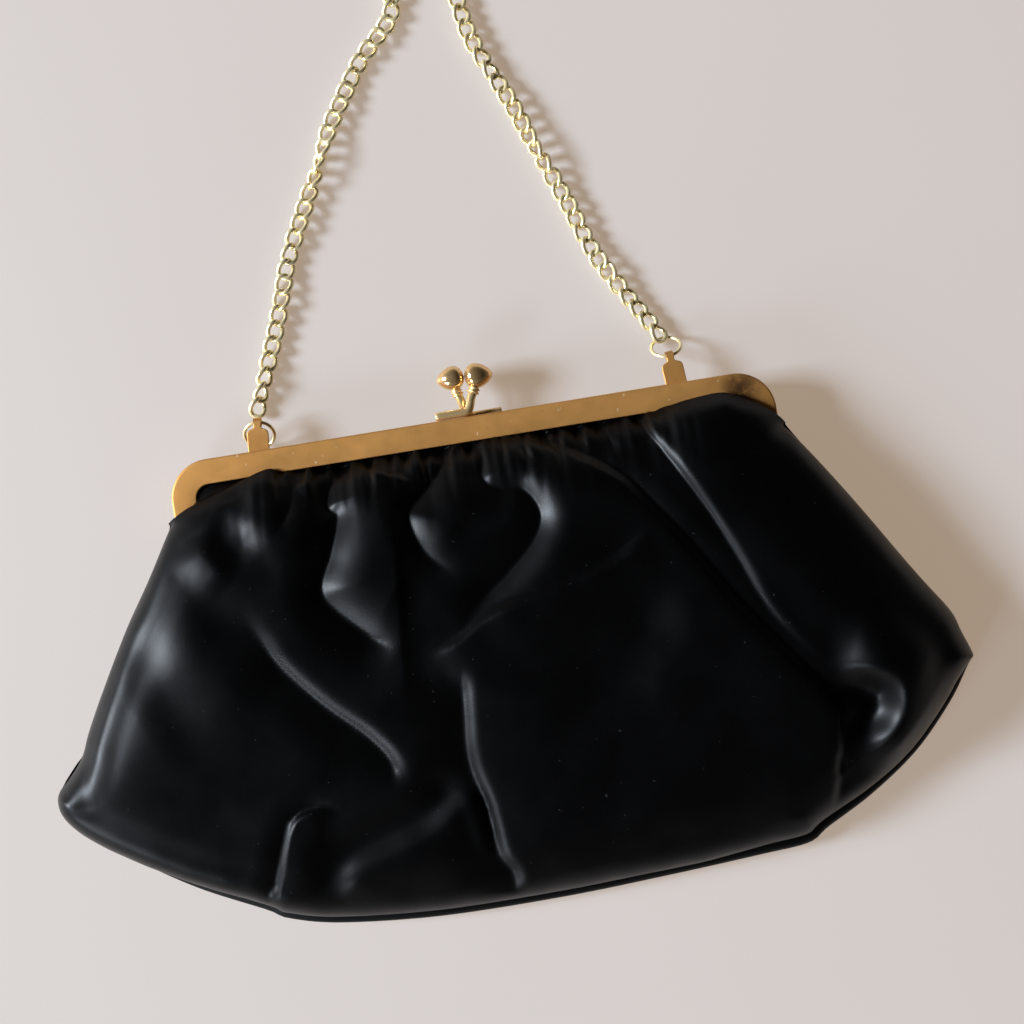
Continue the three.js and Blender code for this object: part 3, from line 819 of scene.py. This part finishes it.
def softened_heights(x, y, outline, edge):
    """The base heights blurred on a square grid, read back at x and y, so no hips are left in them."""
    step, left, low, passes = 1.5, -165.0, -100.0, 34
    gx, gy = np.meshgrid(np.arange(left, 165.0, step), np.arange(low, 78.0, step))
    grid = smoothed(front_heights(gx, gy, outline, edge)[0], passes)
    u = (x - left) / step
    v = (y - low) / step
    i = np.clip(np.floor(v).astype(int), 0, grid.shape[0] - 2)
    j = np.clip(np.floor(u).astype(int), 0, grid.shape[1] - 2)
    fu = u - j
    fv = v - i
    below = grid[i, j] * (1 - fu) + grid[i, j + 1] * fu
    above = grid[i + 1, j] * (1 - fu) + grid[i + 1, j + 1] * fu
    return below * (1 - fv) + above * fv


def front_cloth():
    edge = curve(CLOTH_EDGE, COLUMNS)
    mouth = curve(MOUTH, COLUMNS)
    outline = seam_line(COLUMNS)
    over = smoothstep(np.abs(edge[:, 0]), 56.0, 74.0)
    t = np.linspace(0, 1, ROWS)
    share = 0.5 - 0.5 * np.cos(math.pi * t)
    share = 0.45 * share + 0.55 * (1 - (1 - t) ** 1.6)
    x, y = between(edge, outline, share[:, None, None])
    z, from_edge, from_top, along = front_heights(x, y, outline, edge)
    soft = softened_heights(x, y, outline, edge)
    z = z + (soft - z) * smoothstep(from_edge, 1.0, 16.0) * smoothstep(from_top, 1.0, 12.0)
    held = smoothstep(from_edge, 0.0, 9.0) * smoothstep(from_top, 0.0, 7.0)
    held_top = smoothstep(from_edge, 0.0, 9.0) * (0.55 + 0.45 * smoothstep(from_top, 0.0, 4.0))
    folds = fold_height(x, y)
    z = z + folds * held_top
    scallop = 0.6 * np.clip(folds[0], -1.8, 2.0) + 0.35 * np.sin(edge[:, 0] * 0.9)
    y = y + scallop[None, :] * np.exp(-from_top / 3.0) * (1 - over[None, :])
    ripples = 0.35 * value_noise(x, y, 31.0, 4) + 0.10 * value_noise(x, y, 12.0, 9)
    z = z + ripples * held
    fine = np.exp(-((from_top / 9.0) ** 1.4))
    phase = x * 0.44 + 1.5 * value_noise(x, y, 23.0, 12)
    gathers = 2.0 * np.abs(np.sin(phase)) - 1.3 + 0.35 * np.sin(x * 1.7 + 1.0)
    z = z + 0.8 * gathers * fine * (1 - over[None, :])
    puckers = np.sin(along * 230.0 + 2.2 * value_noise(x, y, 30.0, 5))
    z = z + 0.22 * puckers * np.exp(-from_edge / 4.0) * smoothstep(from_edge, 0.0, 1.5)
    surface = np.stack([x, y, z], 2)
    # the rows that lead from inside the channel to the cloth's visible top edge
    lead = []
    inside = np.stack([mouth[:, 0], mouth[:, 1] + 1.6 * (1 - over), np.full(COLUMNS, 12.5)], 1)
    inside[:, 0] += np.sign(mouth[:, 0]) * 1.2 * smoothstep(np.abs(mouth[:, 0]), 84.0, 92.0)
    start = np.stack([mouth[:, 0], mouth[:, 1], np.full(COLUMNS, 12.7)], 1)
    low = start.copy()
    low[:, 1] -= 1.4
    low[:, 2] = 13.0 + 0.6 * over
    crest = surface[0].copy()
    crest[:, 1] -= 0.4 * over
    crest[:, 2] -= 1.2
    for t in np.linspace(0, 1, LEAD_ROWS - 1, endpoint=False):
        first_part = (1 - t) ** 3 * start + 3 * t * (1 - t) ** 2 * low
        lead.append(first_part + 3 * t * t * (1 - t) * crest + t**3 * surface[0])
    # the seam allowance, turned inward
    last = surface[-1]
    centre_pull = unit_rows(np.stack([-last[:, 0], -40.0 - last[:, 1]], 1))
    tail = []
    for distance in (0.8, 2.0, 3.2):
        turned_in = last.copy()
        share = 0.75 + 0.25 * smoothstep(-last[:, 1], 0.0, 20.0)
        turned_in[:, :2] += centre_pull * distance * share[:, None]
        turned_in[:, 2] += 0.12
        tail.append(turned_in)
    return np.concatenate([inside[None], np.array(lead), surface, np.array(tail)])


CLOTH = {
    "quality": 6, "mass": 0.12, "vertex_group_mass": "held", "pin_stiffness": 1.0,
    "tension_stiffness": 14, "compression_stiffness": 14, "shear_stiffness": 4, "bending_stiffness": 14,
    "tension_damping": 12, "compression_damping": 12, "shear_damping": 8, "bending_damping": 2,
    "air_damping": 3, "shrink_min": -0.012, "use_pressure": True, "uniform_pressure_force": 0.5,
}
CLOTH_FRAMES = 22
# no point moves further than this
CLOTH_CAP = 2.2


def settle(rows, first_free, last_free):
    """Cloth simulation of a grid of points: it is a little larger than its shape, is pinned at its held
    edges and swells slightly, so it buckles into folds of its own. Returns the moved points."""
    step = 2
    coarse = rows[::step, ::step]
    if (rows.shape[0] - 1) % step:
        coarse = np.concatenate([coarse, rows[-1:, ::step]])
    row_at = np.minimum(np.arange(coarse.shape[0]) * step, rows.shape[0] - 1)
    cloth = add_grid("settling_cloth", coarse, flip=True)
    count = coarse.shape[0] * coarse.shape[1]
    pin = cloth.vertex_groups.new(name="held")
    free = smoothstep(row_at, first_free, first_free + 14)
    free = free * (1 - smoothstep(row_at, last_free - 10, last_free))
    columns = np.arange(coarse.shape[1])
    last = len(columns) - 1
    free_across = smoothstep(columns, 1, 30) * (1 - smoothstep(columns, last - 30, last - 1))
    held = np.maximum(1 - free[:, None], 1 - free_across[None, :]).reshape(-1)
    for k in range(count):
        if held[k] > 0.001:
            pin.add([k], float(held[k]), "REPLACE")
    modifier = cloth.modifiers.new("cloth", "CLOTH")
    for key, value in CLOTH.items():
        setattr(modifier.settings, key, value)
    modifier.settings.effector_weights.gravity = 0.0
    modifier.collision_settings.use_collision = False
    modifier.point_cache.frame_start = 1
    modifier.point_cache.frame_end = CLOTH_FRAMES + 2
    scene = bpy.context.scene
    for number in range(1, CLOTH_FRAMES + 1):
        scene.frame_set(number)
    bpy.context.view_layer.update()
    shown = cloth.evaluated_get(bpy.context.evaluated_depsgraph_get())
    flat = np.zeros(count * 3)
    shown.data.vertices.foreach_get("co", flat)
    moved = flat.reshape(coarse.shape) / MM - coarse
    scene.frame_set(1)
    bpy.data.objects.remove(cloth)
    size = np.linalg.norm(moved, axis=2, keepdims=True)
    moved = moved * (CLOTH_CAP / (CLOTH_CAP + size))
    from_seam, _ = line_coordinates(coarse[..., 0], coarse[..., 1], rows[last_free][::6, :2])
    moved = moved * smoothstep(np.abs(from_seam), 5.0, 30.0)[..., None]
    moved = smoothed(moved, 4, own=2)
    row_count, column_count, _ = rows.shape
    widened = np.empty((coarse.shape[0], column_count, 3))
    full = np.empty(rows.shape)
    for k in range(3):
        for r in range(coarse.shape[0]):
            widened[r, :, k] = np.interp(np.arange(column_count), columns * step, moved[r, :, k])
        for c in range(column_count):
            full[:, c, k] = np.interp(np.arange(row_count), row_at, widened[:, c, k])
    return rows + full


front_rows = front_cloth()
front_rows = settle(front_rows, LEAD_ROWS, front_rows.shape[0] - 1 - TAIL_ROWS)
front_satin = add_grid("front_satin", front_rows, satin, flip=True)

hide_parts("front_panel_upper", "front_panel_lower")


def back_cloth():
    """The back panel: it starts at the front seam, rolls round the bag's edge and lies flat."""
    columns = 261
    outline = curve(SILHOUETTE, columns)
    seam = seam_line(columns, 0.2)
    top = curve([(x * 0.985, min(y, 63.6)) for x, y in MOUTH], columns)
    seam_z = 7.4 + 2.4 * smoothstep(outline[:, 1], 0.0, 30.0)
    rows = []
    rows.append(np.stack([seam[:, 0] * 0.985, seam[:, 1] * 0.985, seam_z - 0.1], 1))
    rows.append(np.stack([seam[:, 0], seam[:, 1], seam_z + 0.15], 1))
    for k in range(1, 7):
        a = math.pi / 2 * k / 6
        p = outline * math.sin(a) + seam * (1 - math.sin(a))
        z = (seam_z - 2.4) + 2.55 * math.cos(a)
        rows.append(np.stack([p[:, 0], p[:, 1], z], 1))
    edge_low = seam_z - 2.4
    for share in np.concatenate([np.linspace(0.004, 0.07, 8), np.linspace(0.085, 1.0, 74)]):
        x, y = between(outline, top, share)
        inward = gap(x, y, outline)
        near_top = gap(x, y, top)
        roll = np.clip(1 - inward / 9.0, 0, 1)
        z = 0.5 + (edge_low - 0.5) * (1 - np.sqrt(np.clip(1 - roll**2, 0, 1)))
        rise = np.exp(-near_top / 7.0)
        z = z + (7.2 - z) * rise
        waves = np.sin(x * 0.52) + 0.6 * np.sin(x * 0.97 + 1.3)
        crease = value_noise(x, y, 26.0, 31)
        z = z + np.exp(-near_top / 20.0) * (1 - rise) * (1.5 + 1.1 * waves)
        z = z + smoothstep(inward, 4.0, 16.0) * (0.35 + 0.35 * crease)
        rows.append(np.stack([x, y, np.maximum(z, 0.35)], 1))
    tuck = rows[-1].copy()
    tuck[:, 1] += 1.8 * (1 - smoothstep(np.abs(tuck[:, 0]), 84.0, 91.0))
    tuck[:, 0] += np.sign(tuck[:, 0]) * 1.6 * smoothstep(np.abs(tuck[:, 0]), 84.0, 91.0)
    rows.append(tuck)
    return np.array(rows)


back_panel = add_grid("back_satin_panel", back_cloth(), back_satin, flip=True)
take_place(back_panel, "satin", "back", "back_panel", "seam_edge")

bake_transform(front_satin)


LINING_INSET = 5.0


def lining_front():
    """A loose bag inside the front satin, lower than the deepest of its folds."""
    columns, count = 161, 56
    edge = curve(CLOTH_EDGE, columns)
    edge[:, 0] *= 0.9
    edge[:, 1] = np.where(np.abs(edge[:, 0]) > 84, np.minimum(edge[:, 1], 60.0), 62.5)
    mouth = curve(MOUTH, columns)
    outline = seam_line(columns, LINING_INSET)
    share = 1 - (1 - np.linspace(0, 1, count)) ** 1.4
    x, y = between(edge, outline, share[:, None, None])
    from_edge = np.abs(line_coordinates(x, y, outline)[0])
    from_top = gap(x, y, edge)
    edge_z = 8.6 + 1.9 * smoothstep(y, 0.0, 30.0)
    z = front_base(x, y, from_edge, from_top * 0.8, edge_z, 11.6)
    z = np.minimum(z, edge_z + (z - edge_z) * 0.72)
    z = z + 0.5 * value_noise(x, y, 24.0, 77) * smoothstep(from_edge, 0, 8) * smoothstep(from_top, 0, 8)
    start = np.stack([mouth[:, 0], mouth[:, 1] + 0.6, np.full(columns, 11.7)], 1)
    return np.concatenate([start[None], np.stack([x, y, z], 2)])


def lining_back():
    """The back lining lies just inside the back panel."""
    columns, count = 161, 56
    outline = seam_line(columns, LINING_INSET)
    top = curve([(x * 0.975, min(y, 63.0)) for x, y in MOUTH], columns)
    rows = []
    for share in 1 - (1 - np.linspace(0, 1, count)) ** 1.2:
        x, y = between(outline, top, share)
        inward = gap(x, y, outline)
        near_top = gap(x, y, top)
        z = 2.6 + 5.6 * np.exp(-inward / 5.0) + 5.4 * np.exp(-near_top / 6.0)
        z = np.minimum(z, 8.4 + 1.3 * smoothstep(y, 0.0, 30.0))
        loose = smoothstep(inward, 2.0, 12.0) * smoothstep(near_top, 2.0, 12.0)
        z = z + 0.4 * value_noise(x, y, 22.0, 78) * loose
        rows.append(np.stack([x, y, z], 1))
    return np.array(rows)


front_lining = add_grid("front_lining_bag", lining_front(), lining_cloth)
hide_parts("front_lining_upper", "front_lining_lower")
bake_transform(front_lining)
back_lining = add_grid("back_lining_bag", lining_back(), lining_cloth)
take_place(back_lining, "lining", "back", "back_lining")


def pocket_cloth():
    """The slip pocket: sewn to the back lining at its sides and bottom, open and hemmed at its top."""
    low, high, half, corner = -40.0, 20.0, 45.0, 6.0
    rows = []
    for y in np.concatenate([np.linspace(low, low + corner, 8), np.linspace(low + corner, high, 24)[1:]]):
        below = np.clip(low + corner - y, 0, corner)
        wide = half - corner + math.sqrt(max(corner**2 - below**2, 0.0))
        x = np.linspace(-wide, wide, 61)
        from_side = np.minimum(wide - np.abs(x), y - low)
        gape = 0.9 * smoothstep(y, high - 22.0, high) * smoothstep(from_side, 2.0, 24.0)
        z = 3.25 + 0.45 * smoothstep(from_side, 0.0, 3.0) + gape
        z = z + 0.2 * value_noise(x, np.full(61, y), 15.0, 41) * smoothstep(from_side, 1.0, 8.0)
        rows.append(np.stack([x, np.full(61, y), z], 1))
    for drop, sink in ((-0.25, 0.28), (0.0, 0.5), (5.5, 0.5)):
        hem = rows[30].copy()
        hem[:, 1] -= drop
        hem[:, 2] -= sink
        rows.append(hem)
    return np.array(rows)


pocket = add_grid("slip_pocket_cloth", pocket_cloth(), lining_cloth)
take_place(pocket, "lining", "back", "slip_pocket")


def seam_stitches(line, pitch, stitch, radius):
    """Short thread stitches that lie along the line, each sunk at both ends."""
    count = int(length_of(line) / pitch)
    centres = resample(line, count)
    tangent, side, _ = frames_along(centres)
    parts = []
    for centre, t, outward in zip(centres[2:-2], tangent[2:-2], side[2:-2]):
        share = np.linspace(-0.5, 0.5, 5)
        sunk = -1.6 * radius * (2 * share) ** 2
        run = centre + t * stitch * share[:, None] + outward * 0.12 * share[:, None]
        run[:, 2] += sunk + 0.5 * radius
        radii = radius * np.array([0.55, 0.95, 1.0, 0.95, 0.55])
        parts.append(tube(run, radii, 6))
    return join(parts)


seam = front_rows[-1 - TAIL_ROWS]
stitches = add_mesh("seam_stitching", *seam_stitches(seam, 2.3, 1.7, 0.17), back_satin)
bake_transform(stitches)

# ---- clasp ----

# each knob's centre, the way from it to its stem, the way its tip points, and its half length and radius
KNOBS = {
    "front": ((5.55, 86.1, 10.3), (-2.9, -5.8, 1.0), (1.0, -0.02, 0.0), 4.75, 4.3),
    "back": ((-3.95, 86.5, 9.8), (1.9, -6.1, -0.5), (-1.0, -0.07, 0.0), 4.65, 4.1),
}
ROD = 1.45
BAR_Z = {"front": MID + 2.57, "back": MID - 2.57}
BAR_Y = {"front": FRAME_TOP + ROD + 0.12, "back": FRAME_TOP - BACK_INSET + ROD + 0.12}
BAR_ENDS = {"front": (-10.5, 0.9), "back": (11.2, -0.6)}

COLLAR_RINGS = [
    (0.0, 0.0), (1.6, 0.02), (1.9, 0.12), (2.1, 0.35), (2.05, 0.55), (1.8, 0.78), (1.5, 1.0), (1.6, 1.2),
    (1.95, 1.45), (2.0, 1.62), (1.9, 1.8), (1.55, 2.0), (1.45, 2.3), (1.5, 2.7), (0.0, 2.75),
]


def knob_profile(long, wide):
    """A teardrop: radius and height from the stem's end to the tip."""
    profile = []
    for a in np.linspace(0, math.pi, 40):
        along = -math.cos(a)
        taper = 1 - 0.26 * along - 0.10 * max(along, 0) ** 3
        profile.append((wide * math.sin(a) * taper / 1.03, long * along))
    return profile


def arm_line(which, stem_end, base):
    """The arm's middle line: along the frame, from its bevelled end, round a bend and up the stem."""
    outer_x, bend_x = BAR_ENDS[which]
    towards = math.copysign(1.0, bend_x - outer_x)
    corner = np.array([bend_x, BAR_Y[which], BAR_Z[which]])
    outer = np.array([outer_x, BAR_Y[which], BAR_Z[which]])
    bend_from = corner - np.array([towards * 1.6, 0, 0])
    bend_to = stem_end + base * 2.2
    line = [outer * (1 - t) + bend_from * t for t in np.linspace(0, 1, 9)]
    line += [bezier(t, bend_from, corner, bend_to) for t in np.linspace(0, 1, 14)[1:]]
    line += [bend_to * (1 - t) + stem_end * t for t in np.linspace(0, 1, 5)[1:]]
    return np.array([outer - np.array([towards * 0.28, 0, 0])] + line)


for which, (centre, base, tip, long, wide) in KNOBS.items():
    base = unit(base)
    knob = add_mesh(f"knob_{which}", *turned(knob_profile(long, wide), tip, centre, 64), bright_gold)
    take_place(knob, "bright_gold", which, f"clasp_knob_{which}")
    collar_at = np.asarray(centre) + base * 6.4
    collar = add_mesh(f"collar_{which}", *turned(COLLAR_RINGS, -base, collar_at, 48), stem_gold)
    take_place(collar, "bright_gold", which, f"clasp_collar_{which}")
    bar = arm_line(which, np.asarray(centre) + base * 6.1, base)
    radii = np.full(len(bar), ROD)
    radii[0] = ROD * 0.8
    arm = add_mesh(f"arm_{which}", *tube(bar, radii, 20, up=(0.02, 0.05, 1.0)), stem_gold)
    take_place(arm, "bright_gold", which, f"clasp_arm_{which}")

# ---- lugs and rings ----


def lug_outline():
    half, shoulder, neck_from, neck = 3.6, 10.3, 12.3, 1.3
    points = [(half * math.cos(a), half * math.sin(a)) for a in np.linspace(math.pi, 2 * math.pi, 22)]
    points += [(half, y) for y in np.linspace(0, shoulder, 6)[1:]]
    bend = np.array([(half, shoulder), (half, neck_from - 0.5), (neck + 0.5, neck_from - 0.1)])
    points += [tuple(bezier(t, *bend)) for t in np.linspace(0, 1, 9)[1:]]
    points += [(neck - 0.05, neck_from + 0.35), (neck, LUG_EYE - 0.6), (neck, LUG_EYE)]
    return points + [(-x, y) for x, y in reversed(points[22:])]


def lug_mesh():
    """A stamped plate with rounded edges whose neck is rolled into an eye."""
    outline = np.array(lug_outline())
    half = 0.4
    lower = [(-half, 0.25), (-half + 0.12, 0.06), (-half + 0.28, 0.0)]
    levels = lower + [(-z, inset) for z, inset in reversed(lower)]
    tangent = unit_rows(np.roll(outline, -1, 0) - np.roll(outline, 1, 0))
    inward = np.stack([-tangent[:, 1], tangent[:, 0]], 1)
    n = len(outline)
    rings = [np.concatenate([outline + inward * inset, np.full((n, 1), z)], 1) for z, inset in levels]
    plate = (np.concatenate(rings), grid_faces(len(levels), n, wrap_cols=True) + caps(len(levels), n))
    angle = np.linspace(-0.5 * math.pi, 1.28 * math.pi, 26)
    outer, inner, half_neck = 1.5, 1.0, 1.3
    strip = []
    for a in angle + math.pi / 2:
        direction = np.array([0.0, math.cos(a), -math.sin(a)])
        for r, x in ((outer, -half_neck), (outer, half_neck), (inner, half_neck), (inner, -half_neck)):
            strip.append(np.array([x, LUG_EYE, -EYE_DROP]) + direction * r)
    faces = grid_faces(len(angle), 4, wrap_cols=True) + caps(len(angle), 4, flip=True)
    return join([plate, (np.array(strip), faces)])


def placed_at_lug(points, side):
    x, lean, _ = LUGS[side]
    c, s = math.cos(math.radians(lean)), math.sin(math.radians(lean))
    p = np.asarray(points)
    turned_x = x + p[:, 0] * c - p[:, 1] * s
    turned_y = LUG_PIVOT_Y + p[:, 0] * s + p[:, 1] * c
    return np.stack([turned_x, turned_y, MID + p[:, 2]], 1)


for side in ("left", "right"):
    points, faces = lug_mesh()
    lug = add_mesh(f"lug_plate_{side}", placed_at_lug(points, side), faces, frame_gold)
    sharp = lug.modifiers.new("edges", "EDGE_SPLIT")
    sharp.split_angle = math.radians(50)
    take_place(lug, "frame_gold", f"lug_{side}", f"lug_{side}")
    tilt = math.radians(LUGS[side][2])
    loop = []
    for a in np.linspace(0, 2 * math.pi, 72, endpoint=False):
        px, py = RING_RADIUS * math.sin(a), RING_RADIUS - RING_RADIUS * math.cos(a)
        loop.append((px, LUG_EYE + py * math.cos(tilt), -EYE_DROP + py * math.sin(tilt)))
    points, faces = tube(placed_at_lug(np.array(loop), side), RING_WIRE, 16, closed=True, up=(0.1, 0.05, 1.0))
    ring = add_mesh(f"jump_ring_{side}", points, faces, pale_gold)
    take_place(ring, "pale_gold", f"lug_{side}", f"ring_{side}")

# ---- CAD pieces that stay ----

KEPT = {
    "hinge_rivet_left": bright_gold, "hinge_rivet_right": bright_gold,
    "clasp_rivet_front_1": bright_gold, "clasp_rivet_front_2": bright_gold,
    "clasp_rivet_back_1": bright_gold, "clasp_rivet_back_2": bright_gold,
    "lug_rivet_left": frame_gold, "lug_rivet_right": frame_gold,
    "packing_cord_front": paper, "packing_cord_back": paper,
}
for node, material in KEPT.items():
    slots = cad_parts[node].data.materials
    slots.clear()
    slots.append(material)

# ---- floor and light ----

floor_material, tree, shader = new_material("pale_table")
tone = ramp(tree, noise(tree, 3.0, 4.0), [(0.3, (0.228, 0.252, 0.288)), (0.7, (0.246, 0.272, 0.310))])
tree.links.new(tone, shader.inputs["Base Color"])
set_inputs(shader, Roughness=0.6, Emission_Color=(1.0, 0.76, 0.56, 1.0), Emission_Strength=0.365)
FLOOR = 1500.0
floor_corners = [(-FLOOR, -FLOOR, 0), (FLOOR, -FLOOR, 0), (FLOOR, FLOOR, 0), (-FLOOR, FLOOR, 0)]
floor = add_mesh("table", floor_corners, [(0, 1, 2, 3)], floor_material)


def area_light(name, towards, distance, size, power, colour):
    data = bpy.data.lights.new(name, "AREA")
    data.shape = "RECTANGLE"
    data.size = size[0]
    data.size_y = size[1]
    data.energy = power
    data.color = colour
    light = add_object(name, data)
    direction = Vector(towards).normalized()
    light.location = direction * distance
    light.rotation_euler = direction.to_track_quat("Z", "Y").to_euler()


def from_sky(azimuth, elevation):
    a, e = math.radians(azimuth), math.radians(elevation)
    return (math.cos(a) * math.cos(e), math.sin(a) * math.cos(e), math.sin(e))


DAYLIGHT = (0.93, 0.965, 1.0)
area_light("window", from_sky(172.0, 27.0), 6.0, (1.9, 1.4), 830.0, DAYLIGHT)
area_light("curtain", from_sky(221.0, 24.0), 4.0, (1.3, 0.9), 80.0, DAYLIGHT)

# brightness of the room at each height, from the horizon (0) to overhead (1)
WORLD_LEVELS = [(0.0, 0.95), (0.20, 0.62), (0.40, 0.18), (0.70, 0.07), (1.0, 0.06)]


def room_world():
    """A room that is bright near the horizon, brightest on the window's side, and dark overhead."""
    world = bpy.data.worlds.new("room")
    world.use_nodes = True
    tree = world.node_tree
    coordinates = tree.nodes.new("ShaderNodeTexCoord")
    split = tree.nodes.new("ShaderNodeSeparateXYZ")
    tree.links.new(coordinates.outputs["Generated"], split.inputs["Vector"])
    level = ramp(tree, split.outputs["Z"], WORLD_LEVELS)
    facing = tree.nodes.new("ShaderNodeVectorMath")
    facing.operation = "DOT_PRODUCT"
    facing.inputs[1].default_value = (-0.94, -0.34, 0.0)
    tree.links.new(coordinates.outputs["Generated"], facing.inputs[0])
    side = tree.nodes.new("ShaderNodeMapRange")
    set_inputs(side, From_Min=-0.5, From_Max=1.0, To_Min=0.22, To_Max=1.0)
    tree.links.new(facing.outputs["Value"], side.inputs["Value"])
    tint = blend_colours(tree, 1.0, level, (1.0, 0.90, 0.82), "MULTIPLY")
    tree.links.new(tint, tree.nodes["Background"].inputs["Color"])
    tree.links.new(side.outputs["Result"], tree.nodes["Background"].inputs["Strength"])
    bpy.context.scene.world = world


room_world()
bpy.context.scene.view_settings.view_transform = "Standard"
